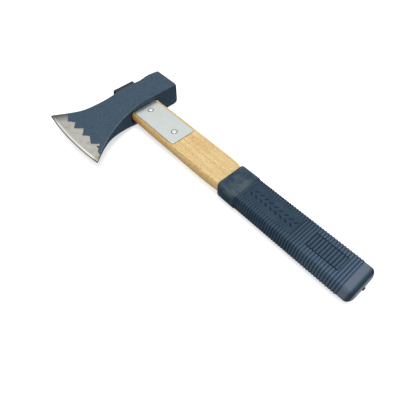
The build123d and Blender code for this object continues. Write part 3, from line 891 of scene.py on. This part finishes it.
def buildHead():
    values = headShape
    low, high = [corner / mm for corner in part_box("axe_head")]
    midZ, edgeY, pollY = (low[2] + high[2]) / 2, high[1], low[1]
    mid = high[0] - values["toeReach"]
    eyeY = edgeY - values["edgeReach"]
    pollAt = pollY - eyeY + values["pollCrown"]
    radius, lowerRadius = values["pollRound"], values["lowerPollRound"]

    def inset(way, reach):
        # how far a rounding of that radius draws in, that far from the poll's face
        return reach - math.sqrt(max(reach ** 2 - max(reach - way, 0) ** 2, 0))

    def ring(y):
        # y from the eye's middle
        trim, lowerTrim = inset(y - pollAt, radius), inset(y - pollAt, lowerRadius)
        up, down = [smoothValue(values[side], y) - trim for side in ("toeSide", "heelSide")]
        thick = min(smoothValue(values["halfThick"], y), midZ)
        above, below = thick - trim, thick - lowerTrim
        middle = (mid + (up - down) / 2, midZ + (above - below) / 2)
        return eyeY + y, middle, ((up + down) / 2, (above + below) / 2)

    # the poll's face is crowned: its first ring stands proud of the second
    pollCentre, pollHalf = ring(pollAt)[1:]
    share = values["crownShare"]
    rings = [(pollY, pollCentre, (share * pollHalf[0], share * pollHalf[1]))]
    rings += [ring(pollAt + way) for way in (0, 0.12, 0.4, 0.8, 1.3, 2.0, 3.0, 4.4)]
    start = pollAt + lowerRadius
    count = round((values["lastRing"] - start) / values["ringStep"])
    rings += [ring(start + (values["lastRing"] - start) * k / count) for k in range(count + 1)]
    head = addSection("head", "Y", rings[0], cut=(share * values["cornerRound"],) * 2, segments=3)
    growRings("Y", rings)
    bpy.ops.mesh.edge_face_add()
    pick("VERT", lambda v: v.co.y < (pollY + 0.01) * mm)
    bpy.ops.mesh.edge_face_add()
    closeAndOrient()
    combine(head, grindingDisc(mid, edgeY, midZ), "INTERSECT")

    # the eye, wider below, with its two mouths eased
    (wide, thick), (topWide, topThick) = values["eyeHalf"], values["eyeTopHalf"]
    under, over = [mid + end for end in values["eyeEnds"]]
    ease, lean = values["eyeChamfer"], values["eyeLean"]
    eye = tube("eye", "X", [
        (under - 3, (eyeY, midZ), (wide + 3 + ease, thick + 3 + ease)),
        (under + ease, (eyeY, midZ), (wide, thick)),
        (over - ease, (eyeY + lean, midZ), (topWide, topThick)),
        (over + 3, (eyeY + lean, midZ), (topWide + 3 + ease, topThick + 3 + ease))],
        cut=(2.2, thick - 0.05), segments=8)
    combine(head, eye, "DIFFERENCE")
    return head


# neck plates and rivets

plateShape = {
    "tailHalf": 11.2, "tailLean": -3.0, "bodyLength": 66.2, "corner": 3.5, "edge": 0.3,
    "dimple": (4.3, 0.3),               # radius and depth of the pressing round a rivet
    "hole": 2.1,
}
rivetShape = {
    "shank": 2.0, "sink": 0.15,
    # head as (radius, height above the plate)
    "head": ((3.1, 0.0), (3.25, 0.2), (3.15, 0.42), (2.7, 0.66), (1.9, 0.84), (0.9, 0.9)),
}


def rivetPlaces():
    boxes = [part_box(f"neck_rivet_{n}") for n in (1, 2)]
    return [((low[0] + high[0]) / 2 / mm, (low[1] + high[1]) / 2 / mm) for low, high in boxes]


def buildPlate(name, outward):
    # outward is 1 for the upper plate and -1 for the lower
    values = plateShape
    low, high = [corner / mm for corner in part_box(name)]
    bodyEnd, midY = low[0] + values["bodyLength"], (low[1] + high[1]) / 2
    plate = addBlock("plateUpper" if outward > 0 else "plateLower", low, (bodyEnd, high[1], high[2]))
    editOn()
    pick("FACE", lambda f: f.normal.x > 0.9)
    bpy.ops.mesh.extrude_region_move(TRANSFORM_OT_translate={
        "value": Vector((high[0] - bodyEnd, values["tailLean"], 0)) * mm})
    bpy.ops.transform.resize(value=(1, values["tailHalf"] / (midY - low[1]), 1),
                             center_override=Vector((high[0], midY + values["tailLean"], low[2])) * mm)
    pick("EDGE", lambda e: all(v.co.x < (low[0] + 0.01) * mm for v in e.verts)
         and abs(e.verts[0].co.z - e.verts[1].co.z) > 0.5 * mm)
    bpy.ops.mesh.bevel(offset=values["corner"] * mm, segments=8)
    face = high[2] if outward > 0 else low[2]
    pick("EDGE", lambda e: all(abs(v.co.z - face * mm) < 0.01 * mm for v in e.verts)
         and len(e.link_faces) == 2 and e.calc_face_angle(0) > 1)
    bpy.ops.mesh.bevel(offset=values["edge"] * mm, segments=3)
    editOff()
    radius, depth = values["dimple"]
    for place in rivetPlaces():
        press = tube("press", "Z", [(face - outward * depth, place, (radius * 0.55,) * 2),
                                    (face - outward * depth * 0.4, place, (radius * 0.85,) * 2),
                                    (face, place, (radius,) * 2),
                                    (face + outward * 1, place, (radius * 1.1,) * 2)], segments=40)
        combine(plate, press, "DIFFERENCE")
        drill = tube("drill", "Z", [(low[2] - 1, place, (values["hole"],) * 2),
                                    (high[2] + 1, place, (values["hole"],) * 2)], segments=24)
        combine(plate, drill, "DIFFERENCE")
    return plate


def buildRivet(number, place):
    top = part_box("neck_plate_upper")[1][2] / mm - rivetShape["sink"]
    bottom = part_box("neck_plate_lower")[0][2] / mm + rivetShape["sink"]
    head, shank = rivetShape["head"], rivetShape["shank"]
    rings = [(bottom - height, place, (radius,) * 2) for radius, height in reversed(head)]
    rings += [(bottom, place, (shank,) * 2), (top, place, (shank,) * 2)]
    rings += [(top + height, place, (radius,) * 2) for radius, height in head]
    return tube(f"rivet{number}", "Z", rings, segments=40)


enamel = stovedEnamelAndGroundSteel()
beech = lacqueredBeech()
zinc = zincPlatedSheet()
vinyl = mouldedVinyl()
wear("handle", beech)
wear("wood_wedge", beech)
wear("steel_wedge", blackOxideSteel())
print("materials made")
finishPiece(buildGrip(), vinyl, "grip", "grip_sleeve")
finishPiece(buildHead(), enamel, "painted_steel", "axe_head", angle=28)
for name, outward in (("neck_plate_upper", 1), ("neck_plate_lower", -1)):
    finishPiece(buildPlate(name, outward), zinc, "zinc_plate", name)
for number, place in enumerate(rivetPlaces(), start=1):
    finishPiece(buildRivet(number, place), zinc, "zinc_plate", f"neck_rivet_{number}", angle=50)
